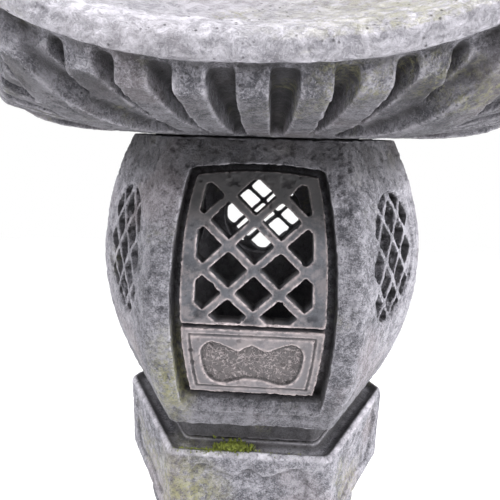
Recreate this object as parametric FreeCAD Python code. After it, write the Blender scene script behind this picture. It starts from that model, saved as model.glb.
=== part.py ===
import FreeCAD, Part
import math
import os

# Hexagonal stone garden lantern, stacked from separate stones.
# Millimetres, +Z up, origin on the ground under the middle of the lantern.
# The hexagons have corners at 0, 60, 120 ... degrees, so the front face looks along -Y.

V = FreeCAD.Vector
UP = V(0, 0, 1)
ORIGIN = V(0, 0, 0)
COS30 = math.cos(math.radians(30))
TAN30 = math.tan(math.radians(30))
FACES = (0, 60, 120, 180, 240, 300)
WINDOW_FACES = (60, 120, 180, 240, 300)

# ---- driving sizes -------------------------------------------------------------------
SIDE = 110.0            # side of the firebox hexagon at its lower edge

SLAB_SIDE = 172.0       # ground slab
SLAB_TOP = 40.0

BASE_SIDE = 140.0       # base stone
BASE_EDGE_TOP = 82.0
BASE_TOP = 132.0
BASE_NECK = 72.0        # radius where the post stands

POST_RADIUS = 56.0
POST_TOP = 484.0
POST_RING = 65.0

PLATFORM_SIDE = 113.0   # platform slab
LEDGE = 623.0           # top of the platform
PLATFORM_SLAB = 70.0    # height of its upright faces
PLATFORM_STEP_SIDE = 99.0
PLATFORM_STEP = 15.0
PLATFORM_LOW_SIDE = 88.0
PLATFORM_PANEL = 2.4    # depth of the sunk panels
GUTTER_OUT = 109.0      # outer side of the sunk channel round the firebox's foot
GUTTER_DEPTH = 4.0
BOSS_SIDE = 82.0        # raised hexagon that locates the firebox
BOSS_HEIGHT = 6.0

FOOT_SIDE = 95.0        # recessed foot under the firebox
FOOT_HEIGHT = 20.0
FIREBOX_EDGE = LEDGE + FOOT_HEIGHT
FIREBOX_HEIGHT = 193.0
FIREBOX_TOP = FIREBOX_EDGE + FIREBOX_HEIGHT
WALL = 21.0
CORNER_ROUND = 9.0
BULGE_RISE = 0.488      # side grows by this share per side-length of height ...
BULGE_FALL = 0.300      # ... and falls by this share of the height squared

LEAF_RECESS = 3.0       # door leaf behind the outer face
LEAF_THICK = 13.0
LEAF_SLACK = 0.4
STOP_LAP = 5.0          # how far the stops behind the leaf reach in

LATTICE_PITCH_X = 31.0
LATTICE_PITCH_Z = 28.8
DOOR_BAR = 5.4
BORDER_INSET = 4.0      # the line round the door's lower panel
BORDER_WIDTH = 1.5
WINDOW_BAR = 4.8
WINDOW_RADIUS = 46.0
REAR_WINDOW_RADIUS = 38.0
WINDOW_MIDDLE = 1.03    # height above the firebox edge, in sides
LATTICE_RECESS = 1.8
LATTICE_BACK = 13.0

ROOF_SEAT = FIREBOX_TOP
ROOF_SEAT_SIDE = 103.5
EAVE = 192.0            # middle of an eave, from the axis
EAVE_LOW = FIREBOX_TOP + 28.0
EAVE_FACE = 13.5
CORNER_RISE = 26.0      # how far each eave corner turns up
CURVE_POWER = 2.6
INNER = 60.0            # inside this distance the roof has no upturn
ROOF_TOP = FIREBOX_TOP + 137.0
ROOF_TOP_SIDE = 50.0
RAFTER_WIDTH = 14.5
HIP_WIDTH = 27.0

FINIAL_HEIGHT = 118.0
FINIAL_RADIUS = 40.0

DOWEL_RADIUS = 10.0
DOWEL_LENGTH = 60.0
PIN_RADIUS = 6.0
PIN_LENGTH = 40.0
SOCKET_GAP = 0.4

DISH_RADIUS = 42.0
DISH_HEIGHT = 14.0

ROOF_PLUG_SIDE = 75.0
ROOF_PLUG_DEPTH = 8.0
HOLLOW_SIDE = 64.0


# ---- small helpers -------------------------------------------------------------------
def turned(shape, degrees):
    copy = shape.copy()
    copy.rotate(ORIGIN, UP, degrees)
    return copy


def rod(radius, low, high, x=0.0, y=0.0):
    return Part.makeCylinder(radius, high - low, V(x, y, low), UP)


def hexagon(side, z, rounding=0.0):
    """A closed hexagon wire at height z, its corners rounded if asked."""
    corners = [
        V(side * math.cos(math.radians(60 * k)), side * math.sin(math.radians(60 * k)), z)
        for k in range(6)
    ]
    if rounding <= 0:
        return Part.makePolygon(corners + [corners[0]])
    back = rounding * TAN30
    tip = side - rounding * (1.0 / COS30 - 1.0)
    edges = []
    for k in range(6):
        here = corners[k]
        before = corners[k - 1]
        after = corners[(k + 1) % 6]
        start = here + (before - here).normalize() * back
        end = here + (after - here).normalize() * back
        middle = V(here.x * tip / side, here.y * tip / side, z)
        edges.append(Part.Arc(start, middle, end).toShape())
        following = after + (here - after).normalize() * back
        edges.append(Part.makeLine(end, following))
    return Part.Wire(edges)


def prism(side, low, high, rounding=0.0):
    return Part.Face(hexagon(side, low, rounding)).extrude(V(0, 0, high - low))


def stack(sections, rounding=0.0, smooth=False):
    """A solid through hexagons given as (side, height)."""
    wires = [hexagon(side, z, rounding) for side, z in sections]
    return Part.makeLoft(wires, True, not smooth)


def lathe(points):
    """A solid turned about the Z axis from (radius, height) points."""
    outline = Part.makePolygon([V(r, 0, z) for r, z in points + [points[0]]])
    return Part.Face(outline).revolve(ORIGIN, UP, 360)


def wire_xz(points):
    return Part.makePolygon([V(x, 0, z) for x, z in points + [points[0]]])


def forward(wire, near, far):
    """Push an upright outline from y = -near to y = -far, through the front face."""
    placed = wire.copy()
    placed.translate(V(0, -near, 0))
    return Part.Face(placed).extrude(V(0, near - far, 0))


def smooth_sided(half_widths, top_round=0.0):
    """An outline symmetric about x = 0 whose sides curve through (half width, height)."""
    right = Part.BSplineCurve()
    right.interpolate([V(x, 0, z) for x, z in half_widths])
    left = Part.BSplineCurve()
    left.interpolate([V(-x, 0, z) for x, z in reversed(half_widths)])
    low_x, low_z = half_widths[0]
    high_x, high_z = half_widths[-1]
    edges = [right.toShape()]
    crown = V(0, 0, high_z + top_round)
    if top_round > 0:
        edges.append(Part.Arc(V(high_x, 0, high_z), crown, V(-high_x, 0, high_z)).toShape())
    else:
        edges.append(Part.makeLine(V(high_x, 0, high_z), V(-high_x, 0, high_z)))
    edges.append(left.toShape())
    edges.append(Part.makeLine(V(-low_x, 0, low_z), V(low_x, 0, low_z)))
    return Part.Wire(edges)


def cartouche(half_width, low, high):
    """The cusped panel outline: a scalloped top rising to a point and a wavy bottom."""
    tall = high - low
    top = [(1.0, 0.66), (0.97, 0.88), (0.86, 1.0), (0.55, 0.94), (0.24, 0.83)]
    point = (0.0, 0.98)
    bottom = [(0.94, 0.30), (0.80, 0.07), (0.60, 0.0), (0.34, 0.07), (0.12, 0.13)]

    def place(pair, sign):
        return V(sign * pair[0] * half_width, 0, low + pair[1] * tall)

    edges = []
    for sign in (1, -1):
        crest = Part.BSplineCurve()
        crest.interpolate([place(p, sign) for p in top])
        edges.append(crest.toShape())
        edges.append(Part.makeLine(place(top[-1], sign), place(point, 1)))
        hem = Part.BSplineCurve()
        hem.interpolate([place(p, sign) for p in [top[0]] + bottom])
        edges.append(hem.toShape())
    edges.append(Part.makeLine(place(bottom[-1], 1), place(bottom[-1], -1)))
    return Part.Wire(Part.__sortEdges__(edges))


def bulged_side(z):
    """Side of the firebox hexagon at height z above its lower edge."""
    h = z / SIDE
    return SIDE * (1.0 + BULGE_RISE * h - BULGE_FALL * h * h)


def barrel(inset, below=0.0, above=0.0, rounding=0.0):
    """The bulged hexagon body of the firebox, each face moved in by inset."""
    sections = []
    steps = 6
    for k in range(steps + 1):
        z = -below + (FIREBOX_HEIGHT + below + above) * k / steps
        sections.append((bulged_side(z) - inset / COS30, FIREBOX_EDGE + z))
    return stack(sections, rounding, smooth=True)


def lattice_holes(rows, half_x, bar, near, far):
    """Diamond holes between bars, for rows given as (height, offset in pitches)."""
    lean = math.hypot(LATTICE_PITCH_X, LATTICE_PITCH_Z)
    half_w = LATTICE_PITCH_X / 2 - bar * lean / LATTICE_PITCH_Z / 2
    half_h = LATTICE_PITCH_Z / 2 - bar * lean / LATTICE_PITCH_X / 2
    holes = []
    for z, shift in rows:
        for k in range(-3, 4):
            x = (k + shift) * LATTICE_PITCH_X
            if abs(x) < half_x:
                diamond = wire_xz(
                    [(x - half_w, z), (x, z + half_h), (x + half_w, z), (x, z - half_h)]
                )
                holes.append(forward(diamond, near, far))
    return Part.makeCompound(holes)


def petals(count, radius, low, high, reach, thick):
    """A ring of lotus petals: flattened eggs standing round a circle."""
    shapes = []
    half = (high - low) / 2
    wide = math.pi * radius / count * 1.04
    for k in range(count):
        egg = Part.makeSphere(1.0)
        scale = FreeCAD.Matrix()
        scale.scale(V(thick, wide, half))
        egg = egg.transformGeometry(scale)
        egg.rotate(ORIGIN, V(0, 1, 0), reach)
        egg.translate(V(radius, 0, (low + high) / 2))
        shapes.append(turned(egg, 360.0 * (k + 0.5) / count))
    return shapes


# ---- ground slab and base ------------------------------------------------------------
def make_ground_slab():
    slab = stack([(SLAB_SIDE, 0), (SLAB_SIDE, SLAB_TOP - 5), (SLAB_SIDE - 6, SLAB_TOP)], 5.0)
    return slab


def make_base():
    body = stack(
        [(BASE_SIDE, SLAB_TOP), (BASE_SIDE, BASE_EDGE_TOP - 5), (BASE_SIDE - 5, BASE_EDGE_TOP)], 6.0
    )
    dome = lathe(
        [
            (0, BASE_EDGE_TOP - 4),
            (112, BASE_EDGE_TOP - 4),
            (110, BASE_EDGE_TOP + 10),
            (100, BASE_EDGE_TOP + 26),
            (84, BASE_EDGE_TOP + 38),
            (BASE_NECK + 4, BASE_TOP - 7),
            (BASE_NECK + 4, BASE_TOP),
            (0, BASE_TOP),
        ]
    )
    ring = petals(12, 90, BASE_EDGE_TOP - 6, BASE_EDGE_TOP + 44, -42, 15)
    base = body.multiFuse([dome] + ring)
    keep = rod(160, SLAB_TOP, BASE_TOP)
    base = base.common(keep)
    panel = forward(cartouche(52, SLAB_TOP + 9, BASE_EDGE_TOP - 11), 60, 200)
    depth = BASE_SIDE * COS30 - 4
    panel = panel.cut(Part.makeBox(300, 300, 300, V(-150, -depth, 0)))
    base = base.cut(Part.makeCompound([turned(panel, a) for a in FACES]))
    socket = rod(DOWEL_RADIUS + SOCKET_GAP, BASE_TOP - DOWEL_LENGTH / 2 - 1, BASE_TOP + 1)
    return base.cut(socket)


# ---- post ----------------------------------------------------------------------------
def make_post():
    middle = (BASE_TOP + POST_TOP) / 2
    outline = [
        (0, BASE_TOP),
        (POST_RING, BASE_TOP),
        (POST_RING, BASE_TOP + 22),
        (POST_RING - 4, BASE_TOP + 27),
        (POST_RADIUS, BASE_TOP + 30),
        (POST_RADIUS - 2, middle - 60),
        (POST_RADIUS - 2, middle - 20),
        (POST_RING - 5, middle - 17),
        (POST_RING - 3, middle - 12),
        (POST_RING, middle - 7),
        (POST_RING, middle + 7),
        (POST_RING - 3, middle + 12),
        (POST_RING - 5, middle + 17),
        (POST_RADIUS - 2, middle + 20),
        (POST_RADIUS - 2, middle + 60),
        (POST_RADIUS, POST_TOP - 30),
        (POST_RING - 4, POST_TOP - 27),
        (POST_RING, POST_TOP - 22),
        (POST_RING, POST_TOP),
        (0, POST_TOP),
    ]
    post = lathe(outline)
    depth = DOWEL_LENGTH / 2 + 1
    low = rod(DOWEL_RADIUS + SOCKET_GAP, BASE_TOP - 1, BASE_TOP + depth)
    high = rod(DOWEL_RADIUS + SOCKET_GAP, POST_TOP - depth, POST_TOP + 1)
    return post.cut(Part.makeCompound([low, high]))


def make_post_dowels():
    half = DOWEL_LENGTH / 2
    low = rod(DOWEL_RADIUS, BASE_TOP - half, BASE_TOP + half)
    high = rod(DOWEL_RADIUS, POST_TOP - half, POST_TOP + half)
    return Part.makeCompound([low, high])


# ---- platform ------------------------------------------------------------------------
def make_platform():
    slab_low = LEDGE - PLATFORM_SLAB
    step_low = slab_low - PLATFORM_STEP
    body = stack(
        [
            (PLATFORM_SIDE - 3, slab_low),
            (PLATFORM_SIDE, slab_low + 3),
            (PLATFORM_SIDE, LEDGE - 3),
            (PLATFORM_SIDE - 3, LEDGE),
        ],
        7.0,
    )
    step = stack([(PLATFORM_STEP_SIDE - 3, step_low), (PLATFORM_STEP_SIDE, slab_low)], 8.0)
    under = stack(
        [
            (66, POST_TOP),
            (74, POST_TOP + 9),
            (PLATFORM_LOW_SIDE, POST_TOP + 26),
            (PLATFORM_STEP_SIDE - 3, step_low),
        ],
        12.0,
        smooth=True,
    )
    boss = prism(BOSS_SIDE, LEDGE, LEDGE + BOSS_HEIGHT, 6.0)
    ring = petals(12, 76, POST_TOP + 2, step_low + 2, 30, 12)
    platform = body.multiFuse([step, under, boss] + ring)
    platform = platform.common(rod(200, POST_TOP, LEDGE + BOSS_HEIGHT))
    panel = forward(cartouche(42, slab_low + 11, LEDGE - 11), 60, 200)
    depth = PLATFORM_SIDE * COS30 - PLATFORM_PANEL
    panel = panel.cut(Part.makeBox(300, 300, 900, V(-150, -depth, 0)))
    platform = platform.cut(Part.makeCompound([turned(panel, a) for a in FACES]))
    socket = rod(DOWEL_RADIUS + SOCKET_GAP, POST_TOP - 1, POST_TOP + DOWEL_LENGTH / 2 + 1)
    dish_seat = rod(DISH_RADIUS + 1.5, LEDGE + BOSS_HEIGHT - 4, LEDGE + BOSS_HEIGHT + 1)
    gutter = stack([(GUTTER_OUT - 6, LEDGE - GUTTER_DEPTH), (GUTTER_OUT, LEDGE + 0.5)], 7.0)
    gutter = gutter.cut(prism(FOOT_SIDE + 1.0, LEDGE - GUTTER_DEPTH - 1, LEDGE + 1, CORNER_ROUND))
    return platform.cut(gutter).cut(Part.makeCompound([socket, dish_seat]))


# ---- firebox -------------------------------------------------------------------------
OPENING = [(0.415, 0.17), (0.444, 0.50), (0.449, 0.95), (0.414, 1.32), (0.358, 1.585)]
LEAF = [(0.366, 0.28), (0.397, 0.55), (0.406, 0.95), (0.378, 1.32), (0.332, 1.555)]
LEAF_CROWN = 3.0


def scaled(outline, grow=0.0):
    return [(x * SIDE + grow, FIREBOX_EDGE + z * SIDE) for x, z in outline]


def window_cutters(radius):
    """What to cut for a round window: a shallow recess, the inside, and the lattice's holes."""
    middle = FIREBOX_EDGE + WINDOW_MIDDLE * SIDE
    centre = V(0, 0, middle)
    ring = Part.Wire(Part.Circle(centre, V(0, 1, 0), radius).toShape())
    window = forward(ring, 60, 160)
    front = window.cut(barrel(LATTICE_RECESS, 10, 10))
    back = window.common(barrel(LATTICE_BACK, 5, 5))
    rows = []
    for k in range(-3, 4):
        rows.append((middle + k * LATTICE_PITCH_Z / 2, 0.0 if k % 2 == 0 else 0.5))
    holes = lattice_holes(rows, radius - 1.5, WINDOW_BAR, 60, 160)
    rim = Part.Wire(Part.Circle(centre, V(0, 1, 0), radius - 1.5).toShape())
    holes = holes.common(forward(rim, 60, 160))
    return [front, back, holes]


def make_firebox():
    body = barrel(0.0, rounding=CORNER_ROUND)
    foot = prism(FOOT_SIDE, LEDGE, FIREBOX_EDGE + 2, CORNER_ROUND)
    body = body.fuse(foot)
    hollow = barrel(WALL, above=2.0, rounding=6.0)
    foot_hollow = prism(BOSS_SIDE + 2.0, LEDGE - 1, FIREBOX_EDGE + 3, 5.0)
    body = body.cut(hollow.fuse(foot_hollow))

    # The doorway: full width as deep as the leaf, then narrower to leave the stops.
    seat_depth = LEAF_RECESS + LEAF_THICK + LEAF_SLACK
    doorway = forward(smooth_sided(scaled(OPENING), LEAF_CROWN), 40, 160)
    doorway = doorway.cut(barrel(seat_depth, 10, 10))
    stops = scaled([(x, z) for x, z in LEAF], -STOP_LAP)
    stops[-1] = (stops[-1][0], stops[-1][1] - STOP_LAP)
    stops[0] = (stops[0][0], stops[0][1] + 2.0)
    inner = forward(smooth_sided(stops, LEAF_CROWN), 40, 160)
    body = body.cut(doorway.fuse(inner))

    # The sill falls towards the front and is level under the leaf.
    sill = FIREBOX_EDGE + 0.17 * SIDE
    level = FIREBOX_EDGE + 0.235 * SIDE
    face = bulged_side(0.2 * SIDE) * COS30
    profile = [
        V(0, -face + 1.0, sill - 4),
        V(0, -face + 1.0, sill),
        V(0, -face + 6.0, level - 1),
        V(0, -face + 8.0, level),
        V(0, -face + seat_depth + 3, level),
        V(0, -face + seat_depth + 3, sill - 4),
    ]
    wedge = Part.Face(Part.makePolygon(profile + [profile[0]]))
    half = 0.43 * SIDE
    wedge.translate(V(-half, 0, 0))
    body = body.fuse(wedge.extrude(V(2 * half, 0, 0)))

    # Lattice windows in the other five faces, the rear one smaller.
    sides = window_cutters(WINDOW_RADIUS)
    rear = window_cutters(REAR_WINDOW_RADIUS)
    cutters = []
    for angle in WINDOW_FACES:
        cutters += [turned(cutter, angle) for cutter in (rear if angle == 180 else sides)]
    for cutter in cutters:
        body = body.cut(cutter)
    return body


def make_door():
    outline = smooth_sided(scaled(LEAF), LEAF_CROWN)
    leaf = forward(outline, 40, 160)
    front = barrel(LEAF_RECESS, 10, 10)
    back = barrel(LEAF_RECESS + LEAF_THICK, 10, 10)
    leaf = leaf.common(front).cut(back)

    # Lattice over the upper part.
    rail = FIREBOX_EDGE + 0.735 * SIDE
    frame = [
        (0.334 * SIDE, rail + 2.5),
        (0.318 * SIDE, FIREBOX_EDGE + 1.0 * SIDE),
        (0.306 * SIDE, FIREBOX_EDGE + 1.30 * SIDE),
        (0.270 * SIDE, FIREBOX_EDGE + 1.505 * SIDE),
    ]
    top_row = FIREBOX_EDGE + 1.45 * SIDE
    rows = []
    for k in range(0, 7):
        rows.append((top_row - k * LATTICE_PITCH_Z / 2, 0.0 if k % 2 == 0 else 0.5))
    holes = lattice_holes(rows, 0.36 * SIDE, DOOR_BAR, 40, 160)
    holes = holes.common(forward(smooth_sided(frame, LEAF_CROWN), 40, 160))
    leaf = leaf.cut(holes)

    # The lower panel: a deep line under the rail, a sunk border and the cartouche.
    line = Part.makeBox(0.86 * SIDE, 140, 2.4, V(-0.43 * SIDE, -160, rail - 2.0))
    leaf = leaf.cut(line.cut(barrel(LEAF_RECESS + 7.0, 10, 10)))
    low = FIREBOX_EDGE + 0.28 * SIDE
    rings = []
    for edge in (BORDER_INSET, BORDER_INSET + BORDER_WIDTH):
        sides = [
            (0.366 * SIDE - edge, low + edge),
            (0.388 * SIDE - edge, (low + rail) / 2),
            (0.398 * SIDE - edge, rail - 2.0 - edge),
        ]
        rings.append(forward(smooth_sided(sides), 50, 170))
    groove = rings[0].cut(rings[1])
    leaf = leaf.cut(groove.cut(barrel(LEAF_RECESS + 1.3, 10, 10)))
    panel = forward(cartouche(0.290 * SIDE, low + 8.0, low + 38.0), 60, 160)
    leaf = leaf.cut(panel.cut(barrel(LEAF_RECESS + 2.6, 10, 10)))

    # Two feet stand on the level part of the sill.
    level = FIREBOX_EDGE + 0.235 * SIDE
    deep = bulged_side(0.28 * SIDE) * COS30 - LEAF_RECESS - LEAF_THICK
    for x in (-30.0, 18.0):
        leaf = leaf.fuse(Part.makeBox(12, 5.5, low + 3 - level, V(x, -deep - 6.0, level)))
    return leaf


# ---- lamp dish -----------------------------------------------------------------------
def make_lamp_dish():
    floor = LEDGE + BOSS_HEIGHT - 4
    return lathe(
        [
            (0, floor),
            (DISH_RADIUS - 18, floor),
            (DISH_RADIUS - 16, floor + 1.5),
            (DISH_RADIUS - 6, floor + 5),
            (DISH_RADIUS, floor + DISH_HEIGHT - 1),
            (DISH_RADIUS - 1, floor + DISH_HEIGHT),
            (DISH_RADIUS - 3, floor + DISH_HEIGHT - 1),
            (DISH_RADIUS - 9, floor + 7.5),
            (DISH_RADIUS - 18, floor + 4.5),
            (0, floor + 4),
        ]
    )


# ---- roof ----------------------------------------------------------------------------
def upturn(apothem, x):
    """How far the roof rises at a distance from the axis and from the middle of a face."""
    if apothem <= INNER:
        return 0.0
    outward = (apothem - INNER) / (EAVE - INNER)
    sideways = min(1.0, abs(x) / (apothem * TAN30))
    return CORNER_RISE * outward ** 2 * sideways ** CURVE_POWER


def eave_wire(apothem, z):
    """A hexagon whose sides sag in the middle and turn up at the corners."""
    half = apothem * TAN30
    count = 8
    points = []
    for k in range(-count, count + 1):
        x = half * k / count
        points.append(V(x, -apothem, z + upturn(apothem, x)))
    curve = Part.BSplineCurve()
    curve.interpolate(points)
    edge = curve.toShape()
    return Part.Wire([turned(edge, a) for a in FACES])


def rafter_bottom(apothem):
    """Height of a middle rafter's underside above the roof seat."""
    span = (apothem - 88.0) / (178.0 - 88.0)
    return 0.5 + 7.0 * span + 9.0 * span ** 3


def make_rafter(x_in, x_out, start):
    end = 180.0
    low = []
    steps = 14
    for k in range(steps + 1):
        a = start + (end - 3.0 - start) * k / steps
        share = (a - 88.0) / (end - 88.0)
        x = x_in + (x_out - x_in) * share
        low.append((a, ROOF_SEAT + rafter_bottom(a) + upturn(a, x)))
    nose = ROOF_SEAT + 27.0 + upturn(end, x_out)
    low.append((end, low[-1][1] + 3.5))
    low.append((end, nose + 4.0))
    low.append((start, ROOF_SEAT + 20.0))
    lean = math.atan2(x_out - x_in, end - 88.0)
    points = [V(0, -a, z) for a, z in low]
    side = Part.Face(Part.makePolygon(points + [points[0]]))
    side.translate(V(-RAFTER_WIDTH / 2, 0, 0))
    bar = side.extrude(V(RAFTER_WIDTH, 0, 0))
    bar.rotate(V(0, -88.0, 0), UP, math.degrees(lean))
    bar.translate(V(x_in, 0, 0))
    return bar


def make_hip():
    """The thick rafter under a hip, pointing along +X before it is turned."""
    reach = 211.0
    seat = ROOF_SEAT
    low = [(96.0, seat + 0.0), (150.0, seat + 3.0), (178.0, seat + 11.0), (198.0, seat + 26.0)]
    curve = Part.BSplineCurve()
    curve.interpolate([V(r, 0, z) for r, z in low])
    tip = V(reach, 0, seat + 40.0)
    edges = [
        curve.toShape(),
        Part.makeLine(V(198.0, 0, seat + 26.0), tip),
        Part.makeLine(tip, V(reach, 0, seat + 54.0)),
        Part.makeLine(V(reach, 0, seat + 54.0), V(96.0, 0, seat + 26.0)),
        Part.makeLine(V(96.0, 0, seat + 26.0), V(96.0, 0, seat)),
    ]
    web = Part.Face(Part.Wire(edges))
    web.translate(V(0, -HIP_WIDTH / 2, 0))
    bar = web.extrude(V(0, HIP_WIDTH, 0))
    start = V(94.0, 0, seat - 5)
    end = V(reach + 6, 0, seat - 5)
    middle = 150.0
    left = Part.Arc(start, V(middle, HIP_WIDTH / 2, seat - 5), end).toShape()
    right = Part.Arc(end, V(middle, -HIP_WIDTH / 2, seat - 5), start).toShape()
    spindle = Part.Face(Part.Wire([left, right])).extrude(V(0, 0, 80))
    return bar.common(spindle)


def make_roof():
    seat = ROOF_SEAT
    top_z = ROOF_TOP
    edge_top = EAVE_LOW + EAVE_FACE
    slope = []
    for share in (0.0, 0.18, 0.38, 0.58, 0.78, 1.0):
        apothem = (EAVE - 3.5) + (ROOF_TOP_SIDE * COS30 - EAVE + 3.5) * share
        rise = (top_z - edge_top) * (0.62 * share + 0.38 * share ** 2.2)
        slope.append(eave_wire(apothem, edge_top + rise))
    wires_rim = [
        eave_wire(EAVE - 12.0, EAVE_LOW + 1.0),
        eave_wire(EAVE - 1.5, EAVE_LOW),
        eave_wire(EAVE, EAVE_LOW + 2.0),
        eave_wire(EAVE, edge_top - 4.0),
        slope[0],
    ]
    inner = ROOF_SEAT_SIDE * COS30
    soffit = [
        eave_wire(INNER, seat + 7.0),
        eave_wire(inner, seat + 8.0),
        eave_wire(inner + 20, seat + 13.5),
        eave_wire(inner + 45, seat + 18.5),
        eave_wire(inner + 70, seat + 23.5),
        eave_wire(EAVE - 12.0, EAVE_LOW + 1.0),
    ]
    faces = list(Part.makeLoft(slope, False, False).Faces)
    faces += Part.makeLoft(wires_rim, False, True).Faces
    faces += Part.makeLoft(soffit, False, True).Faces
    # A flat cap closes the top, and a flat face closes the underside.
    for wire in (slope[-1], soffit[0]):
        faces.append(Part.Face(wire))
    shell = Part.Shell(faces)
    shell.sewShape()
    roof = Part.Solid(shell)
    if roof.Volume < 0:
        roof.reverse()

    seat_block = prism(ROOF_SEAT_SIDE, seat, seat + 10.0, 4.0)
    bars = []
    for x_in, x_out, start in (
        (0.0, 0.0, 86.0),
        (21.0, 25.6, 86.0),
        (37.0, 49.6, 90.0),
        (51.0, 71.6, 120.0),
        (62.0, 91.5, 155.0),
    ):
        bars.append(make_rafter(x_in, x_out, start))
        if x_in > 0:
            bars.append(make_rafter(x_in, x_out, start).mirror(ORIGIN, V(1, 0, 0)))
    hip = turned(make_hip(), -120)
    pieces = [seat_block]
    for angle in FACES:
        pieces += [turned(bar, angle) for bar in bars]
        pieces.append(turned(hip, angle))
    roof = roof.multiFuse(pieces)

    # A hexagonal plug drops into the firebox; the flame has a hollow above it.
    plug = prism(ROOF_PLUG_SIDE, seat - ROOF_PLUG_DEPTH, seat + 1, 6.0)
    roof = roof.fuse(plug)
    hollow = stack([(HOLLOW_SIDE, seat - ROOF_PLUG_DEPTH - 1), (HOLLOW_SIDE - 22, seat + 34)], 8.0)
    socket = rod(PIN_RADIUS + SOCKET_GAP, top_z - PIN_LENGTH / 2 - 1, top_z + 1)
    return roof.cut(Part.makeCompound([hollow, socket]))


# ---- finial --------------------------------------------------------------------------
def make_finial():
    low = ROOF_TOP
    seat = lathe(
        [
            (0, low),
            (30, low),
            (32, low + 6),
            (27, low + 11),
            (27, low + 16),
            (36, low + 24),
            (42, low + 38),
            (38, low + 40),
            (0, low + 42),
        ]
    )
    ring = petals(8, 31, low + 15, low + 44, 22, 8)
    outline = Part.BSplineCurve()
    outline.interpolate(
        [
            V(24, 0, low + 38),
            V(FINIAL_RADIUS - 2, 0, low + 52),
            V(FINIAL_RADIUS, 0, low + 66),
            V(31, 0, low + 86),
            V(14, 0, low + 101),
            V(5, 0, low + FINIAL_HEIGHT - 5),
        ]
    )
    tip = V(0, 0, low + FINIAL_HEIGHT)
    edges = [
        outline.toShape(),
        Part.makeLine(V(5, 0, low + FINIAL_HEIGHT - 5), tip),
        Part.makeLine(tip, V(0, 0, low + 38)),
        Part.makeLine(V(0, 0, low + 38), V(24, 0, low + 38)),
    ]
    jewel = Part.Face(Part.Wire(edges)).revolve(ORIGIN, UP, 360)
    finial = seat.multiFuse(ring + [jewel])
    return finial.cut(rod(PIN_RADIUS + SOCKET_GAP, low - 1, low + PIN_LENGTH / 2 + 1))


def make_finial_pin():
    return rod(PIN_RADIUS, ROOF_TOP - PIN_LENGTH / 2, ROOF_TOP + PIN_LENGTH / 2)


# ---- write every piece ---------------------------------------------------------------
os.makedirs("parts", exist_ok=True)
PIECES = (
    ("ground_slab", make_ground_slab),
    ("base", make_base),
    ("post", make_post),
    ("post_dowels", make_post_dowels),
    ("platform", make_platform),
    ("firebox", make_firebox),
    ("door", make_door),
    ("lamp_dish", make_lamp_dish),
    ("roof", make_roof),
    ("finial", make_finial),
    ("finial_pin", make_finial_pin),
)
for node, make in PIECES:
    shape = make()
    box = shape.BoundBox
    print(node, shape.isValid(), len(shape.Solids), round(shape.Volume / 1000), box)
    shape.exportStep("parts/" + node + ".step")
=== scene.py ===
import math

import bpy
import numpy as np
from bpy.props import FloatProperty, FloatVectorProperty, PointerProperty
from mathutils import Matrix, Vector


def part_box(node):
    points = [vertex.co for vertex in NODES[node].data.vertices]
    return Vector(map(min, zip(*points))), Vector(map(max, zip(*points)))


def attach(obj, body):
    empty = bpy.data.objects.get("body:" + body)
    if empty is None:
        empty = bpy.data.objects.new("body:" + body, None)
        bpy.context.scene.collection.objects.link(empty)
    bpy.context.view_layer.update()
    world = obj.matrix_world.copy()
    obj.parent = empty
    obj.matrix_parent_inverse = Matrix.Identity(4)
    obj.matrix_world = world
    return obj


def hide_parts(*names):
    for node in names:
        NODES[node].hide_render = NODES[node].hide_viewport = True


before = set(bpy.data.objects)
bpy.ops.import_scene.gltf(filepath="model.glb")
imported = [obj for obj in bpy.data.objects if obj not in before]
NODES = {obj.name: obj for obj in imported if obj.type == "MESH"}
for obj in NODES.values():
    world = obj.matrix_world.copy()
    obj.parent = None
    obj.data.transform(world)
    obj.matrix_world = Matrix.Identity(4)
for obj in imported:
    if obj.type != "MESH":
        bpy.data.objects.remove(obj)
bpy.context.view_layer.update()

bl_info = {
    "name": "Stone Garden Lantern",
    "version": (1, 0, 0),
    "blender": (4, 5, 0),
    "location": "View3D > Sidebar > Lantern",
    "description": "Builds a weathered hexagonal stone lantern round its packed frame",
    "category": "Object",
}

MM = 0.001


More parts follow.
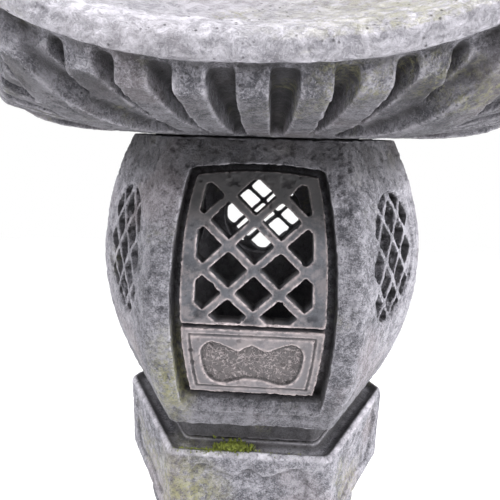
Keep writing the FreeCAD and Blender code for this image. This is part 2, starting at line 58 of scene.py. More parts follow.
# ---- shader expressions --------------------------------------------------------------
class Wire:
    """A shader socket that can stand in a Python expression."""

    def __init__(self, tree, socket=None):
        self.tree = tree
        self.socket = socket

    def node(self, kind, settings=None, inputs=None, out=0):
        """Add a node: its settings first, then the values or links of its sockets."""
        made = self.tree.nodes.new(kind)
        for key, value in (settings or {}).items():
            setattr(made, key, value)
        for key, value in (inputs or {}).items():
            if isinstance(value, Wire):
                self.tree.links.new(value.socket, made.inputs[key])
            else:
                made.inputs[key].default_value = value
        return Wire(self.tree, made.outputs[out]) if len(made.outputs) else None

    def math(self, operation, first, second=0.0):
        return self.node("ShaderNodeMath", {"operation": operation}, {0: first, 1: second})

    def __add__(self, other):
        return self.math("ADD", self, other)

    __radd__ = __add__

    def __sub__(self, other):
        return self.math("SUBTRACT", self, other)

    def __rsub__(self, other):
        return self.math("SUBTRACT", other, self)

    def __mul__(self, other):
        return self.math("MULTIPLY", self, other)

    __rmul__ = __mul__

    def between(self, low, high):
        """0 below low, 1 above high, smooth between them."""
        settings = {"interpolation_type": "SMOOTHSTEP"}
        return self.node("ShaderNodeMapRange", settings, {0: self, 1: low, 2: high})

    def blend(self, factor, first, second):
        """Colours mixed by a factor."""
        settings = {"data_type": "RGBA"}
        return self.node("ShaderNodeMix", settings, {0: factor, 6: first, 7: second}, out=2)

    def noise(self, scale, detail=2.0, roughness=0.6, distortion=0.0):
        """Noise over the piece's own coordinates, the scale in waves to a metre."""
        values = {"Scale": scale, "Detail": detail, "Roughness": roughness}
        values["Distortion"] = distortion
        values["Vector"] = self.node("ShaderNodeTexCoord", out=3)
        return self.node("ShaderNodeTexNoise", None, values)

    def cells(self, scale):
        """Distance from the nearest of points scattered over the piece."""
        values = {"Scale": scale, "Vector": self.node("ShaderNodeTexCoord", out=3)}
        return self.node("ShaderNodeTexVoronoi", None, values)

    def attribute(self, title):
        """A value that the mesh work has stored under a name."""
        return self.node("ShaderNodeAttribute", {"attribute_name": title}, out=2)

    def bump(self, height, distance, strength=1.0):
        values = {"Height": height, "Distance": distance, "Strength": strength}
        return self.node("ShaderNodeBump", None, values)


def new_material(name):
    """A material with an empty tree but for its output, and a Wire to build with."""
    material = bpy.data.materials.new(name)
    material.use_nodes = True
    tree = material.node_tree
    tree.nodes.clear()
    return material, Wire(tree)


def surface(wire, inputs):
    """Close the tree with a Principled shader."""
    shader = wire.node("ShaderNodeBsdfPrincipled", None, inputs)
    wire.node("ShaderNodeOutputMaterial", None, {0: shader})


def rgba(colour, share=1.0):
    return (colour[0] * share, colour[1] * share, colour[2] * share, 1.0)


def weathered_stone(name, settings, lichen, bright=1.0, rough=1.0):
    """Cast stone left outdoors: mottled grey, pale worn edges, pits, dirt and lichen, with painted
    shade in valleys, creases and recesses and painted light on lit faces.
    """
    material, wire = new_material(name)
    clouds = wire.noise(24.0, 6.0, 0.65, 0.4)
    trowelled = wire.noise(130.0, 8.0, 0.72, 0.8)
    scratched = wire.noise(480.0, 4.0, 0.65, 1.5)
    sandy = wire.noise(1050.0, 3.0, 0.7)
    coarse = trowelled.between(0.40, 0.60)
    grain = scratched.between(0.41, 0.60)
    fine = sandy.between(0.38, 0.62)
    # The colour follows the height of the relief and is darker in its valleys: partly the stone's
    # dry-brushed tone, partly painted shade in the valleys.
    raised = wire.attribute("raised")
    tone = clouds.between(0.36, 0.64) * 0.16 + coarse * 0.20 + grain * 0.26 + fine * 0.14
    tone = (tone + raised * 0.24).between(0.15, 0.85)
    dark = rgba(settings.dark_stone, bright)
    light = rgba(settings.light_stone, bright)
    colour = wire.blend(tone, dark, light)
    warm = wire.noise(17.0, 4.0, 0.5).between(0.52, 0.7)
    colour = wire.blend(warm * 0.22, colour, rgba(settings.warm_stain))

    # Stone made pale: painted light on the firebox's side faces, painted top light and bleaching on
    # the roof's eave and up-facing slopes, a painted highlight and bleaching on the platform's rim;
    # then pale mineral specks.
    bleached_and_lit = wire.attribute("bleached_and_lit")
    colour = wire.blend(bleached_and_lit * (0.35 + 0.5 * coarse), colour, rgba(settings.pale_wear_and_light))
    crumbs = wire.cells(900.0)
    pale = (1.0 - crumbs.between(0.1, 0.3)) * wire.noise(330.0, 2.0).between(0.5, 0.62)
    colour = wire.blend(pale * 0.5, colour, rgba(settings.pale_wear_and_light))

    # Edges rubbed pale; creases darkened with dirt and painted shade; deeper recesses darkened with
    # painted shade; and painted shade where the marks put it, with damp in the ledge's channel.
    worn = wire.attribute("worn") * (coarse * 0.4 + grain * 0.35 + 0.22)
    crease_shade_and_grime = wire.attribute("crease_shade_and_grime") * 0.75
    cavity_shade = wire.attribute("cavity_shade") * (0.75 - 0.6 * bleached_and_lit)
    painted_shade_and_grime = wire.attribute("painted_shade_and_grime") * (0.50 + 0.26 * coarse + 0.24 * grain)
    colour = wire.blend(cavity_shade, colour, rgba(settings.grime_and_shade, 1.6))
    colour = wire.blend(painted_shade_and_grime, colour, rgba(settings.grime_and_shade, 1.7))
    colour = wire.blend(crease_shade_and_grime, colour, rgba(settings.grime_and_shade))
    colour = wire.blend(worn, colour, rgba(settings.pale_wear_and_light))

    # Lichen crusts in broken patches and a thin green film.
    spread = wire.noise(20.0, 3.0, 0.5).between(0.62 - 0.08 * lichen, 0.70)
    crust = spread * wire.noise(300.0, 8.0, 0.8).between(0.47, 0.58)
    colour = wire.blend(crust * (0.8 * lichen), colour, rgba(settings.lichen))
    film = wire.noise(34.0, 6.0, 0.6, 0.5).between(0.58, 0.76)
    colour = wire.blend(film * (0.30 * lichen), colour, rgba(settings.bloom))
    patch = wire.attribute("lichen") * wire.noise(240.0, 8.0, 0.8).between(0.40, 0.60)
    colour = wire.blend(patch * 0.8, colour, rgba(settings.lichen, 1.2))

    # Small open pits, darker inside.
    holes = wire.cells(300.0)
    sparse = wire.noise(120.0, 3.0).between(0.42, 0.60)
    pit = (1.0 - holes.between(0.06, 0.26)) * sparse
    colour = wire.blend(pit * 0.8, colour, rgba(settings.grime_and_shade))

    height = coarse * 0.5 + grain * 0.5 + fine * 0.25 - pit * 0.8
    bump = wire.bump(height, 1.0 * MM * rough, 0.9)
    roughness = 0.80 + 0.16 * grain
    surface(wire, {"Base Color": colour, "Roughness": roughness, "Normal": bump})
    return material


def smooth_leaf(name, settings):
    """The door's casting: close grey faces with pale, rubbed edges and a rough sunk panel."""
    material, wire = new_material(name)
    clouds = wire.noise(60.0, 6.0, 0.6, 0.6)
    fine = wire.noise(700.0, 6.0, 0.8, 0.6)
    crumbly = wire.noise(330.0, 6.0, 0.75)
    winding = wire.math("ABSOLUTE", wire.noise(290.0, 2.0, 0.5, 0.6) - 0.5)
    worms = 1.0 - winding.between(0.0, 0.06)
    panel = wire.attribute("panel")
    tone = clouds.between(0.36, 0.64) * 0.6 + fine.between(0.35, 0.65) * 0.4
    colour = wire.blend(tone, rgba(settings.leaf_dark), rgba(settings.leaf_light))

    # Pinkish brown stain in patches and out from every edge, then the rubbed edge itself.
    near_edge = wire.attribute("fringe")
    stain = wire.noise(75.0, 5.0, 0.7).between(0.44, 0.62) * 0.4 + wire.attribute("low_down") * 0.25
    stain = stain + near_edge * (0.3 + 0.9 * crumbly.between(0.36, 0.58))
    colour = wire.blend(stain, colour, rgba(settings.leaf_rubbed, 0.55))
    hammered = wire.blend(worms, rgba(settings.leaf_rubbed, 0.13), rgba(settings.leaf_rubbed, 0.75))
    colour = wire.blend(panel * 0.75, colour, hammered)
    # Painted shade on the top under the eave, darker on the back, dirt and painted shade in the
    # creases; the rubbed edges stay dark where the painted shade lies.
    colour = wire.blend(wire.attribute("painted_shade_and_grime") * 0.9, colour, rgba(settings.grime_and_shade, 0.6))
    colour = wire.blend(wire.attribute("crease_shade_and_grime") * 0.85, colour, rgba(settings.grime_and_shade))
    rubbed = wire.attribute("worn") * (0.30 + 0.70 * crumbly.between(0.40, 0.54))
    rubbed = rubbed * (1.0 - 0.75 * wire.attribute("painted_shade_and_grime"))
    colour = wire.blend(rubbed, colour, rgba(settings.leaf_rubbed, 1.15))
    specks = wire.cells(420.0)
    pit = (1.0 - specks.between(0.08, 0.28)) * wire.noise(110.0, 3.0).between(0.42, 0.56)
    pit = pit * (0.45 + 0.55 * near_edge)
    colour = wire.blend(pit * 0.75, colour, rgba(settings.grime_and_shade))
    height = fine * 0.5 + crumbly * (0.35 + near_edge * 0.8) + panel * worms * 0.9 - pit * 0.7
    bump = wire.bump(height, 0.9 * MM, 0.9)
    roughness = 0.5 + 0.2 * fine + 0.2 * near_edge
    surface(wire, {"Base Color": colour, "Roughness": roughness, "Normal": bump})
    return material


# ---- mesh work -----------------------------------------------------------------------
def lattice_noise(points, cell, seed):
    """Smooth random values from -1 to 1 on a lattice of the given cell size in metres."""
    grid = points / cell
    low = np.floor(grid).astype(np.int64)
    part = grid - low
    part = part * part * (3.0 - 2.0 * part)
    total = np.zeros(len(points))
    for corner in range(8):
        step = np.array([corner & 1, (corner >> 1) & 1, (corner >> 2) & 1])
        index = low + step
        mixed = index[:, 0] * 73856093 ^ index[:, 1] * 19349663 ^ index[:, 2] * 83492791
        mixed = (mixed + seed * 2654435761) & 0xFFFFFFFF
        mixed = ((mixed ^ (mixed >> 15)) * 2246822519) & 0xFFFFFFFF
        mixed = ((mixed ^ (mixed >> 13)) * 3266489917) & 0xFFFFFFFF
        value = ((mixed ^ (mixed >> 16)) & 0xFFFF) / 32767.5 - 1.0
        weight = np.prod(np.where(step == 1, part, 1.0 - part), axis=1)
        total += value * weight
    return total


def rough_noise(points, cell, seed, octaves=3):
    total = np.zeros(len(points))
    share = 1.0
    for k in range(octaves):
        total += share * lattice_noise(points, cell / 2 ** k, seed + 17 * k)
        share *= 0.55
    return total / 1.6


def ramp(values, start, width):
    """0 up to start, rising to 1 over the width after it."""
    return np.clip((values - start) / width, 0.0, 1.0)


class Skin:
    """The points of a mesh with quick smoothing over their neighbours."""

    def __init__(self, mesh):
        self.mesh = mesh
        count = len(mesh.vertices)
        flat = np.zeros(count * 3)
        mesh.vertices.foreach_get("co", flat)
        self.points = flat.reshape(-1, 3)
        pairs = np.zeros(len(mesh.edges) * 2, np.int32)
        mesh.edges.foreach_get("vertices", pairs)
        pairs = pairs.reshape(-1, 2)
        self.start = np.concatenate([pairs[:, 0], pairs[:, 1]])
        self.end = np.concatenate([pairs[:, 1], pairs[:, 0]])
        self.degree = np.maximum(np.bincount(self.start, minlength=count), 1)

    def averaged(self, values):
        """Each point's value averaged over its neighbours."""
        if values.ndim == 1:
            values = values[:, None]
        sums = [
            np.bincount(self.start, weights=values[self.end, k], minlength=len(self.degree))
            for k in range(values.shape[1])
        ]
        result = np.stack(sums, axis=1) / self.degree[:, None]
        return result if result.shape[1] > 1 else result[:, 0]

    def smoothed(self, values, rounds):
        for _ in range(rounds):
            values = 0.5 * values + 0.5 * self.averaged(values)
        return values

    def write(self):
        self.mesh.vertices.foreach_set("co", self.points.ravel())
        self.mesh.update()

    def normals(self):
        flat = np.zeros(len(self.mesh.vertices) * 3)
        self.mesh.vertices.foreach_get("normal", flat)
        return flat.reshape(-1, 3)

    def store(self, name, values):
        attribute = self.mesh.attributes.new(name, "FLOAT", "POINT")
        attribute.data.foreach_set("value", values.astype(np.float32))


def smooth_shade(mesh):
    mesh.polygons.foreach_set("use_smooth", np.ones(len(mesh.polygons), bool))
    mesh.update()


def weather(
    node, voxel, seed, soften=3, swell=0.5, grit=0.28, chips=0.9, pits=0.5, edge=2.6,
    crumb=2.2, marks=None, carve=None,
):
    """A worn copy of a stone: remeshed, edges rounded and chipped, faces uneven.

    voxel and edge are in millimetres: the mesh size and the width of a worn edge. soften
    counts rounds of smoothing. swell, grit, chips and pits are depths in millimetres, and
    crumb is the size of a chip as a share of edge. marks is a function of the points and
    normals that returns further named values, and carve one that returns how far to push
    each point out, in millimetres.
    """
    source = NODES[node]
    carved = bpy.data.objects.new("worn_" + node, source.data.copy())
    bpy.context.scene.collection.objects.link(carved)
    remesh = carved.modifiers.new("remesh", "REMESH")
    remesh.mode = "VOXEL"
    remesh.voxel_size = voxel * MM * 1.0
    remesh.adaptivity = 0.0
    bpy.context.view_layer.update()
    evaluated = carved.evaluated_get(bpy.context.evaluated_depsgraph_get())
    mesh = bpy.data.meshes.new_from_object(evaluated)
    mesh.name = "worn_" + node
    carved.modifiers.clear()
    carved.data = mesh

    skin = Skin(mesh)
    low = skin.points.min(axis=0)
    high = skin.points.max(axis=0)
    skin.points = skin.smoothed(skin.points, soften)
    skin.write()
    normals = skin.normals()
    reach = int(round((edge / voxel) ** 2)) + 2
    relief = ((skin.points - skin.smoothed(skin.points, reach)) * normals).sum(axis=1) / MM
    convex = np.clip((relief / edge - 0.05) / 0.14, 0.0, 1.0)
    concave = np.clip((-relief / edge - 0.02) / 0.13, 0.0, 1.0)

    # Long gentle unevenness, a sandy roughness, pits, and chips along the edges.
    broad = rough_noise(skin.points, 45 * MM, seed, 2) * swell
    sandy = rough_noise(skin.points, 5 * MM, seed + 5, 3)
    pocks = lattice_noise(skin.points, 4.2 * MM, seed + 9)
    pocks = -np.clip((pocks - 0.55) / 0.3, 0.0, 1.0) * pits
    nicks = np.clip(rough_noise(skin.points, crumb * edge * MM, seed + 13, 3) + 0.15, 0.0, 1.0)
    moved = broad - abs(swell) + sandy * grit + pocks - convex * nicks * chips
    if carve:
        moved += carve(skin.points, normals)
    skin.points = skin.points + normals * (moved * MM)[:, None]
    skin.points = np.clip(skin.points, low, high)
    skin.write()
    # Painted shade: how far each point sinks below its surroundings smoothed over some 6.5 mm,
    # which darkens recesses.
    wide = int(round((6.5 / voxel) ** 2))
    sunk = ((skin.smoothed(skin.points, wide) - skin.points) * normals).sum(axis=1) / MM
    named = {
        "worn": skin.smoothed(convex, 1),
        "fringe": 2.4 * skin.smoothed(convex, int(2.2 / voxel ** 2) + 1) - 0.08,
        # Concave creases, which are darkened with dirt and painted shade.
        "crease_shade_and_grime": skin.smoothed(concave, 1),
        "cavity_shade": np.clip(sunk / 2.2 - 0.15, 0.0, 1.0),
        "raised": 0.5 + 0.8 * sandy,
        "painted_shade_and_grime": np.zeros(len(normals)),
        "lichen": np.zeros(len(normals)),
        "bleached_and_lit": np.zeros(len(normals)),
    }
    if marks:
        named.update(marks(skin.points, skin.normals()))
    for name, values in named.items():
        skin.store(name, np.clip(values, 0.0, 1.0))
    smooth_shade(mesh)
    return carved


def cover(piece, material):
    """Give a piece one material over all its faces."""
    piece.data.materials.clear()
    piece.data.materials.append(material)


def finish_piece(piece, node, body, material):
    """Give a piece its finish and let it stand for its node."""
    cover(piece, material)
    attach(piece, body)
    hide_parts(node)


# ---- settings ------------------------------------------------------------------------
class LanternStoneSettings(bpy.types.PropertyGroup):
    light_stone: FloatVectorProperty(
        name="Light stone",
        description="The paler grey of the stone",
        default=(0.43, 0.42, 0.47),
        subtype="COLOR",
    )
    dark_stone: FloatVectorProperty(
        name="Dark stone",
        description="The darker grey of the stone",
        default=(0.070, 0.070, 0.085),
        subtype="COLOR",
    )
    warm_stain: FloatVectorProperty(
        name="Warm stain",
        description="Pinkish brown blush in the stone",
        default=(0.34, 0.26, 0.26),
        subtype="COLOR",
    )
    # Also the colour of painted light on the firebox's sides and the roof, and of the painted
    # highlight on the platform's rim.
    pale_wear_and_light: FloatVectorProperty(
        name="Worn edge",
        description="Rubbed edges and pale grains",
        default=(0.71, 0.685, 0.755),
        subtype="COLOR",
    )
    # Dark colour of dirt in pits, also used for painted shade in creases, recesses, under the roof,
    # inside the box and on the sill.
    grime_and_shade: FloatVectorProperty(
        name="Dirt",
        description="Soot and dirt in hollows and pits",
        default=(0.022, 0.020, 0.021),
        subtype="COLOR",
    )
    lichen: FloatVectorProperty(
        name="Lichen",
        description="Yellow green crusts",
        default=(0.34, 0.33, 0.16),
        subtype="COLOR",
    )
    bloom: FloatVectorProperty(
        name="Bloom",
        description="Thin grey green film",
        default=(0.24, 0.25, 0.19),
        subtype="COLOR",
    )
    moss: FloatVectorProperty(
        name="Moss",
        description="Fresh moss leaves",
        default=(0.17, 0.20, 0.03),
        subtype="COLOR",
    )
    leaf_light: FloatVectorProperty(
        name="Door, light",
        description="Paler grey of the door leaf",
        default=(0.118, 0.121, 0.141),
        subtype="COLOR",
    )
    leaf_dark: FloatVectorProperty(
        name="Door, dark",
        description="Darker grey of the door leaf",
        default=(0.048, 0.050, 0.060),
        subtype="COLOR",
    )
    leaf_rubbed: FloatVectorProperty(
        name="Door, rubbed",
        description="Rubbed edges of the door leaf",
        default=(0.62, 0.54, 0.55),
        subtype="COLOR",
    )


class LanternStageSettings(bpy.types.PropertyGroup):
    focal_share: FloatProperty(
        name="Focal length",
        description="Focal length as a share of the image's width",
        default=0.926,
    )
    camera_place: FloatVectorProperty(
        name="Camera place",
        description="Camera position before the lantern is turned to it",
        default=(-0.00775, -0.3719, 0.8404),
        subtype="TRANSLATION",
        unit="LENGTH",
    )
    camera_down: FloatProperty(
        name="Looking down",
        description="Camera's tilt below the horizontal",
        default=math.radians(14.54),
        subtype="ANGLE",
        unit="ROTATION",
    )
    camera_roll: FloatProperty(
        name="Roll",
        description="Camera's roll",
        default=math.radians(1.45),
        subtype="ANGLE",
        unit="ROTATION",
    )
    camera_round: FloatProperty(
        name="Round the lantern",
        description="How far the camera stands round from straight in front",
        default=math.radians(2.68),
        subtype="ANGLE",
        unit="ROTATION",
    )


# ---- operators: one for each stone or group of like pieces ----------------------------
class LanternLowerStones(bpy.types.Operator):
    """Weather the ground slab, the base and the post"""

    bl_idname = "lantern.lower_stones"
    bl_label = "Lower stones"

    def execute(self, context):
        settings = context.scene.lantern_stone
        for node, voxel, seed, slot in (
            ("ground_slab", 3.0, 3, "stone_slab"),
            ("base", 1.8, 4, "stone_base"),
            ("post", 1.8, 5, "stone_post"),
        ):
            piece = weather(node, voxel, seed, soften=2)
            stone = weathered_stone("stone_" + node, settings, lichen=0.8)
            finish_piece(piece, node, "stand", stone)
        return {"FINISHED"}


def apothem_of(points):
    """Distance of each point from the axis, measured square to its nearest face."""
    turns = np.arange(6) * math.pi / 3 + math.pi / 6
    return (points[:, :1] * np.cos(turns) + points[:, 1:2] * np.sin(turns)).max(axis=1)


def ledge_marks(points, normals):
    """Painted shade and damp on the channel round the firebox's foot, a pale rim of painted
    highlight and bleaching, and lichen on the front.
    """
    low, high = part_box("platform")
    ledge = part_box("firebox")[0].z
    rim_width = 3.0 * MM
    apothem = apothem_of(points)
    near = ramp(points[:, 2], ledge - 5.0 * MM, 2.0 * MM)
    inside = ramp(high.y - rim_width - apothem, 0.0, 1.5 * MM)
    rim = near * ramp(apothem, high.y - 4.0 * MM, 2.0 * MM)
    patchy = 0.8 + 0.9 * rough_noise(points, 7.0 * MM, 61)
    spot = (-45 * MM, low.y * 0.9, ledge - 35.0 * MM)
    spot_size = 32 * MM
    reach = np.linalg.norm(points - spot, axis=1)
    return {
        "painted_shade_and_grime": near * inside,
        "bleached_and_lit": rim * patchy,
        "lichen": np.clip(1.2 - reach / spot_size, 0.0, 1.0),
    }


def firebox_relief(points, normals):
    """Coarse pitting, deepest in the band under the roof, in millimetres."""
    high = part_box("firebox")[1]
    band = ramp(points[:, 2], high.z - 46 * MM, 16 * MM)
    holes = np.clip(rough_noise(points, 3.2 * MM, 83, 3) - 0.08, 0.0, 0.5)
    deepest = 2.6
    return -(0.30 + 0.70 * band) * holes * deepest


def firebox_marks(points, normals):
    """Painted shade under the roof, at the foot and on the sill, darker inside the box and in the
    lowest part, painted light on the side faces, and one lichen patch.
    """
    low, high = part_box("firebox")
    across = np.abs(points[:, 0])
    level = points[:, 2]
    # Painted shade under the roof in broken patches and at the foot; the lowest part a little
    # darker, and faces turned inwards, inside the box, darker.
    under_roof = ramp(level, high.z - 38 * MM, 24 * MM)
    broken = 0.9 + 0.35 * rough_noise(points, 12 * MM, 77)
    foot = ramp(low.z + 21 * MM - level, 0.0, 3 * MM)
    brow = np.minimum(ramp(low.z + 46 * MM - level, 0.0, 8 * MM), 0.35)
    inward = (normals[:, :2] * points[:, :2]).sum(axis=1) < 0

    # The sill is the ledge in the doorway, in front of and below the door; it gets painted shadow.
    sill = (points[:, 1] < -80 * MM) & (across < 48 * MM) & (apothem_of(points) < 98 * MM)
    sill = sill & (level > low.z + 39 * MM) & (level < low.z + 56 * MM)

    spot = (-52 * MM, -100 * MM, low.z + 62 * MM)
    spot_size = 26 * MM
    reach = np.linalg.norm((points - spot) * (1.6, 1.0, 0.62), axis=1)
    # Painted light: the faces to either side painted paler, but not under the roof or inside.
    side = ramp(across, 78 * MM, 30 * MM) * (1 - under_roof)
    return {
        "painted_shade_and_grime": np.maximum.reduce(
            [under_roof * broken, foot * 0.9, inward * 0.8, sill * 0.8, brow]
        ),
        "lichen": np.clip(1.2 - reach / spot_size, 0.0, 1.0),
        "bleached_and_lit": side * 0.35 * (1 - inward),
    }


def roof_marks(points, normals):
    """Painted shade inside the eave, more on the underside and most between the rafters, a pale
    eave and pale slopes of painted top light and bleaching, and a green film.
    """
    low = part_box("roof")[0]
    apothem = apothem_of(points)
    under = np.clip(-normals[:, 2], 0.0, 1.0)
    rafter = low.z + 14 * MM + np.clip(apothem - 0.12, 0.0, 1.0) * 0.22
    between = np.clip((points[:, 2] - rafter) / (6 * MM), 0.0, 1.0)
    inside = apothem < 176 * MM
    eave = np.minimum((apothem - 182 * MM) / (6 * MM), 0.75)
    # Faces turned upwards painted paler, more so further out: painted top light and bleaching.
    slope = np.clip(normals[:, 2] * 2.5, 0.0, 1.0)
    outer = np.clip((apothem - 100 * MM) / (50 * MM), 0.25, 1.0)
    spot = (60 * MM, -180 * MM, low.z + 50 * MM)
    spot_size = 70 * MM
    reach = np.linalg.norm(points - spot, axis=1)
    return {
        "painted_shade_and_grime": inside * (0.3 + under * (0.15 + 0.5 * between)),
        "lichen": np.clip(1.0 - reach / spot_size, 0.0, 1.0) * (normals[:, 2] > 0.2) * 0.7,
        "bleached_and_lit": np.maximum(eave, 0.0) + slope * outer,
    }


# The firebox's front face, which the door follows: the side of its hexagon at the lower edge,
# how that side grows and falls off again with height, and the door's height above that edge.
EDGE_SIDE = 110 * MM
BULGE_RISE = 0.488
BULGE_FALL = 0.300
DOOR_ABOVE_EDGE = 25.85 * MM


def behind_door_face(points):
    """How far each point lies behind the firebox's front face, in metres."""
    rise = (points[:, 2] - (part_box("door")[0].z - DOOR_ABOVE_EDGE)) / EDGE_SIDE
    side = EDGE_SIDE * (1 + BULGE_RISE * rise - BULGE_FALL * rise * rise)
    return side * math.cos(math.pi / 6) + points[:, 1]


def panel_floor(points):
    """One inside the sunk shape on the door's lower panel, nought elsewhere."""
    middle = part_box("door")[0].z + 28 * MM
    across = np.abs(points[:, 0]) < 31.5 * MM
    upright = np.abs(points[:, 2] - middle) < 15.5 * MM
    depth = behind_door_face(points)
    return (across & upright & (depth > 4.7 * MM) & (depth < 7.5 * MM)).astype(float)


# Casting flaws on the door leaf: x and z of each, z above the leaf's foot, in millimetres.
FLAWS = ((-14.0, 141.8), (17.0, 142.2), (-2.0, 59.2), (-34.0, 62.5), (35.0, 62.0))


def door_relief(points, normals):
    """Hammered texture on the floor of the sunk panel, and casting flaws, in millimetres."""
    worms = np.abs(rough_noise(points, 3.4 * MM, 91, 2))
    moved = panel_floor(points) * (0.55 - 1.6 * worms)
    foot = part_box("door")[0].z
    ragged = rough_noise(points, 2.6 * MM, 97, 2)
    in_front = behind_door_face(points) < 7 * MM
    flaw_size = 4.0 * MM
    flaw_depth = 2.0
    for x, z in FLAWS:
        sideways = points[:, 0] - x * MM
        upright = (points[:, 2] - foot - z * MM) * 1.5
        away = np.hypot(sideways, upright) / flaw_size
        dent = np.clip(1.2 - away + 0.9 * ragged, 0.0, 1.0) * (away < 1.8)
        moved -= dent * in_front * flaw_depth
    return moved


def door_marks(points, normals):
    """The sunk panel's floor, painted shade under the eave and darker towards the back."""
    low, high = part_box("door")
    top = ramp(points[:, 2], high.z - 42 * MM, 22 * MM)
    back = ramp(behind_door_face(points), 8 * MM, 4 * MM)
    low_down = ramp(low.z + 56 * MM - points[:, 2], 0.0, 10 * MM)
    return {"panel": panel_floor(points), "painted_shade_and_grime": np.maximum(top, back), "low_down": low_down}


class LanternPlatform(bpy.types.Operator):
    """Weather the platform with its sunk panels and petals"""

    bl_idname = "lantern.platform"
    bl_label = "Platform"

    def execute(self, context):
        piece = weather("platform", 1.1, 11, soften=4, grit=0.4, marks=ledge_marks)
        stone = weathered_stone("stone_platform", context.scene.lantern_stone, lichen=0.7)
        finish_piece(piece, "platform", "stand", stone)
        return {"FINISHED"}


class LanternFirebox(bpy.types.Operator):
    """Weather the firebox with its doorway and lattice windows"""

    bl_idname = "lantern.firebox"
    bl_label = "Firebox"

    def execute(self, context):
        piece = weather(
            "firebox", 0.85, 21, soften=4, swell=0.7, grit=0.55, pits=0.8,
            marks=firebox_marks, carve=firebox_relief,
        )
        stone = weathered_stone(
            "stone_firebox", context.scene.lantern_stone, lichen=0.3, rough=1.25
        )
        finish_piece(piece, "firebox", "stand", stone)
        return {"FINISHED"}


class LanternDoor(bpy.types.Operator):
    """Weather the lattice door leaf"""

    bl_idname = "lantern.door"
    bl_label = "Door leaf"

    def execute(self, context):
        piece = weather(
            "door", 0.55, 31, soften=3, swell=0.25, grit=0.26, chips=2.6, pits=1.0,
            edge=2.1, crumb=1.1, marks=door_marks, carve=door_relief,
        )
        finish_piece(
            piece, "door", "door_leaf",
            smooth_leaf("stone_door", context.scene.lantern_stone),
        )
        return {"FINISHED"}


class LanternRoof(bpy.types.Operator):
    """Weather the roof with its rafters"""

    bl_idname = "lantern.roof"
    bl_label = "Roof"

    def execute(self, context):
        piece = weather(
            "roof", 1.2, 41, soften=4, swell=0.6, grit=0.5, chips=1.3, pits=0.9, marks=roof_marks
        )
        stone = weathered_stone(
            "stone_roof", context.scene.lantern_stone, lichen=0.6, bright=0.95, rough=1.2
        )
        finish_piece(piece, "roof", "roof_body", stone)
        return {"FINISHED"}


# Each tuft: middle (x, y), spread (x, y) in metres, sprouts, height in metres.
MOSS_TUFTS = (
    ((-0.012, -0.0890), (0.0050, 0.0026), 420, 0.0050),
    ((-0.014, -0.0935), (0.0080, 0.0016), 140, 0.0022),
    ((-0.034, -0.0940), (0.0075, 0.0016), 130, 0.0018),
    ((0.014, -0.0925), (0.0100, 0.0016), 30, 0.0012),
)


def grow_sprout(rng, spot, tall, ceiling, corners, faces):
    """One sprout of moss: three narrow leaflets that fan out from the stone."""
    height = tall * rng.uniform(0.35, 1.0)
    height = min(height, max(0.0006, ceiling - spot.z))
    for _ in range(3):
        way = rng.uniform(0.0, 2 * math.pi)
        out = Vector((math.cos(way), math.sin(way), 0.0))
        side = Vector((-out.y, out.x, 0.0)) * height * 0.16
        bend = spot + out * height * 0.28 + Vector((0, 0, height * 0.6))
        tip = spot + out * height * rng.uniform(0.4, 0.7) + Vector((0, 0, height))
        base = len(corners)
        corners.extend([spot - side * 0.6, spot + side * 0.6, bend + side, bend - side, tip])
        thick = out * height * -0.08
        corners.extend([corners[base + 2] + thick, corners[base + 3] + thick])
        faces.append((base, base + 1, base + 2, base + 3))
        faces.append((base + 3, base + 2, base + 4))
        faces.append((base + 1, base, base + 6, base + 5))
        faces.append((base + 5, base + 6, base + 4))
        faces.append((base + 2, base + 1, base + 5))
        faces.append((base, base + 3, base + 6))
        faces.append((base + 2, base + 5, base + 4))
        faces.append((base + 6, base + 3, base + 4))


def moss_leaves(settings):
    """Bright yellow green leaflets, darker in places."""
    material, wire = new_material("moss")
    patch = wire.noise(300.0, roughness=0.5)
    fine = wire.noise(1500.0, roughness=0.5)
    tone = patch.between(0.35, 0.65) * 0.6 + fine.between(0.35, 0.65) * 0.4
    tint = wire.blend(tone, rgba(settings.moss, 0.45), rgba(settings.moss, 1.7))
    bump = wire.bump(fine, 0.3 * MM)
    surface(wire, {"Base Color": tint, "Roughness": 0.6 + 0.2 * fine, "Normal": bump})
    return material


class LanternMoss(bpy.types.Operator):
    """Grow tufts of moss in the damp channel at the front of the platform"""

    bl_idname = "lantern.moss"
    bl_label = "Moss"

    def execute(self, context):
        rng = np.random.default_rng(7)
        stone = bpy.data.objects["worn_platform"]
        roof_of_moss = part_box("platform")[1].z
        corners = []
        faces = []
        for middle, spread, count, tall in MOSS_TUFTS:
            for _ in range(count):
                x, y = np.array(middle) + rng.normal(size=2) * spread
                found, spot, up, _ = stone.ray_cast(
                    Vector((x, y, roof_of_moss)), Vector((0, 0, -1))
                )
                if not found or up.z < 0.3:
                    continue
                grow_sprout(rng, spot, tall, roof_of_moss, corners, faces)
        mesh = bpy.data.meshes.new("moss")
        mesh.from_pydata(corners, [], faces)
        smooth_shade(mesh)
        moss = bpy.data.objects.new("moss", mesh)
        context.scene.collection.objects.link(moss)
        mesh.materials.append(moss_leaves(context.scene.lantern_stone))
        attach(moss, "stand")
        return {"FINISHED"}


class LanternFinial(bpy.types.Operator):
    """Weather the finial"""

    bl_idname = "lantern.finial"
    bl_label = "Finial"

    def execute(self, context):
        piece = weather("finial", 1.2, 51, soften=3)
        stone = weathered_stone("stone_finial", context.scene.lantern_stone, lichen=0.8)
        finish_piece(piece, "finial", "finial_body", stone)
        return {"FINISHED"}


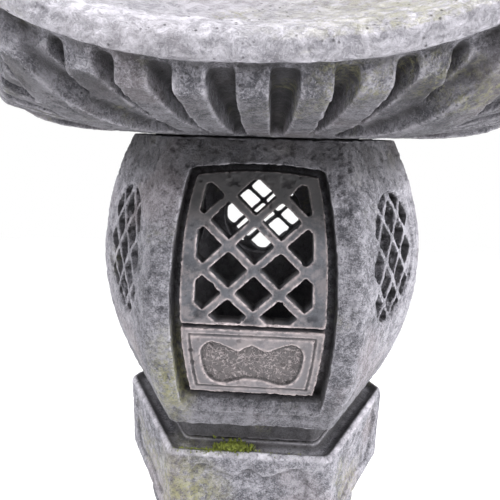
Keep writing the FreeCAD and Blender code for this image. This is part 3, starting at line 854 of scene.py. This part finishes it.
class LanternFittings(bpy.types.Operator):
    """Finish the dowels, the pin and the lamp dish, which keep their own shapes"""

    bl_idname = "lantern.fittings"
    bl_label = "Fittings"

    def execute(self, context):
        for node, colour, metallic in (
            ("post_dowels", (0.42, 0.41, 0.40), 1.0),
            ("finial_pin", (0.55, 0.42, 0.20), 1.0),
        ):
            material, wire = new_material("metal_" + node)
            dull = wire.noise(180.0, roughness=0.5)
            tint = wire.blend(dull.between(0.3, 0.7), rgba(colour, 0.55), rgba(colour))
            rough = 0.35 + 0.3 * dull
            surface(wire, {"Base Color": tint, "Roughness": rough, "Metallic": metallic})
            cover(NODES[node], material)
        material, wire = new_material("dish_glaze")
        pool = wire.noise(60.0, 6.0, 0.5)
        tint = wire.blend(pool.between(0.35, 0.65), (0.05, 0.03, 0.018, 1), (0.19, 0.11, 0.055, 1))
        bump = wire.bump(pool, 0.3 * MM)
        rough = 0.18 + 0.25 * pool
        surface(wire, {"Base Color": tint, "Roughness": rough, "Normal": bump})
        cover(NODES["lamp_dish"], material)
        return {"FINISHED"}


class LanternStage(bpy.types.Operator):
    """Set the floor, the soft lights and the camera"""

    bl_idname = "lantern.stage"
    bl_label = "Stage"

    def execute(self, context):
        scene = context.scene
        stage = scene.lantern_stage
        half = 3.0
        mesh = bpy.data.meshes.new("floor")
        corners = [(-half, -half, 0), (half, -half, 0), (half, half, 0), (-half, half, 0)]
        mesh.from_pydata([Vector(c) for c in corners], [], [(0, 1, 2, 3)])
        floor = bpy.data.objects.new("floor", mesh)
        scene.collection.objects.link(floor)
        material, wire = new_material("floor_plain")
        soft = wire.noise(3.0, roughness=0.5)
        tint = wire.blend(soft, (0.86, 0.86, 0.86, 1), (0.9, 0.9, 0.9, 1))
        surface(wire, {"Base Color": tint, "Roughness": 0.9})
        mesh.materials.append(material)

        world = bpy.data.worlds.new("soft_studio")
        world.use_nodes = True
        backdrop = world.node_tree.nodes["Background"]
        backdrop.inputs[0].default_value = (1.0, 1.0, 1.0, 1.0)
        backdrop.inputs[1].default_value = 1.0
        scene.world = world
        scene.view_settings.view_transform = "Standard"

        for name, place, size, power in (
            ("top", (-0.3, -0.5, 2.6), 1.3, 46.0),
            ("left", (-1.9, -0.4, 1.3), 1.0, 20.0),
            ("right", (1.8, -0.3, 1.2), 1.0, 52.0),
        ):
            lamp = bpy.data.lights.new(name, "AREA")
            lamp.energy = power
            lamp.size = size
            light = bpy.data.objects.new(name, lamp)
            light.location = place
            aim = Vector((0, 0, 0.75)) - Vector(place)
            light.rotation_euler = aim.to_track_quat("-Z", "Y").to_euler()
            scene.collection.objects.link(light)

        lens = bpy.data.cameras.new("view")
        lens.sensor_width = 36.0
        lens.lens = stage.focal_share * lens.sensor_width
        lens.clip_start = 0.01
        camera = bpy.data.objects.new("view", lens)
        turn = Matrix.Rotation(stage.camera_round, 4, "Z")
        tilt = Matrix.Rotation(math.pi / 2 - stage.camera_down, 4, "X")
        roll = Matrix.Rotation(stage.camera_roll, 4, "Z")
        shift = Matrix.Translation(Vector(stage.camera_place))
        camera.matrix_world = turn @ shift @ tilt @ roll
        scene.collection.objects.link(camera)
        scene.camera = camera
        return {"FINISHED"}


BUILDERS = (
    LanternLowerStones,
    LanternPlatform,
    LanternMoss,
    LanternFirebox,
    LanternDoor,
    LanternRoof,
    LanternFinial,
    LanternFittings,
    LanternStage,
)


class LanternPanel(bpy.types.Panel):
    """Buttons and settings for the lantern"""

    bl_idname = "VIEW3D_PT_lantern"
    bl_label = "Stone Lantern"
    bl_space_type = "VIEW_3D"
    bl_region_type = "UI"
    bl_category = "Lantern"

    def draw(self, context):
        for group in (context.scene.lantern_stone, context.scene.lantern_stage):
            for name in group.__annotations__:
                self.layout.prop(group, name)
        for builder in BUILDERS:
            self.layout.operator(builder.bl_idname)


CLASSES = (LanternStoneSettings, LanternStageSettings, *BUILDERS, LanternPanel)


def register():
    for cls in CLASSES:
        bpy.utils.register_class(cls)
    bpy.types.Scene.lantern_stone = PointerProperty(type=LanternStoneSettings)
    bpy.types.Scene.lantern_stage = PointerProperty(type=LanternStageSettings)


def unregister():
    del bpy.types.Scene.lantern_stage
    del bpy.types.Scene.lantern_stone
    for cls in reversed(CLASSES):
        bpy.utils.unregister_class(cls)


def main():
    register()
    for builder in BUILDERS:
        group, name = builder.bl_idname.split(".")
        getattr(getattr(bpy.ops, group), name)()


if __name__ == "__main__":
    main()
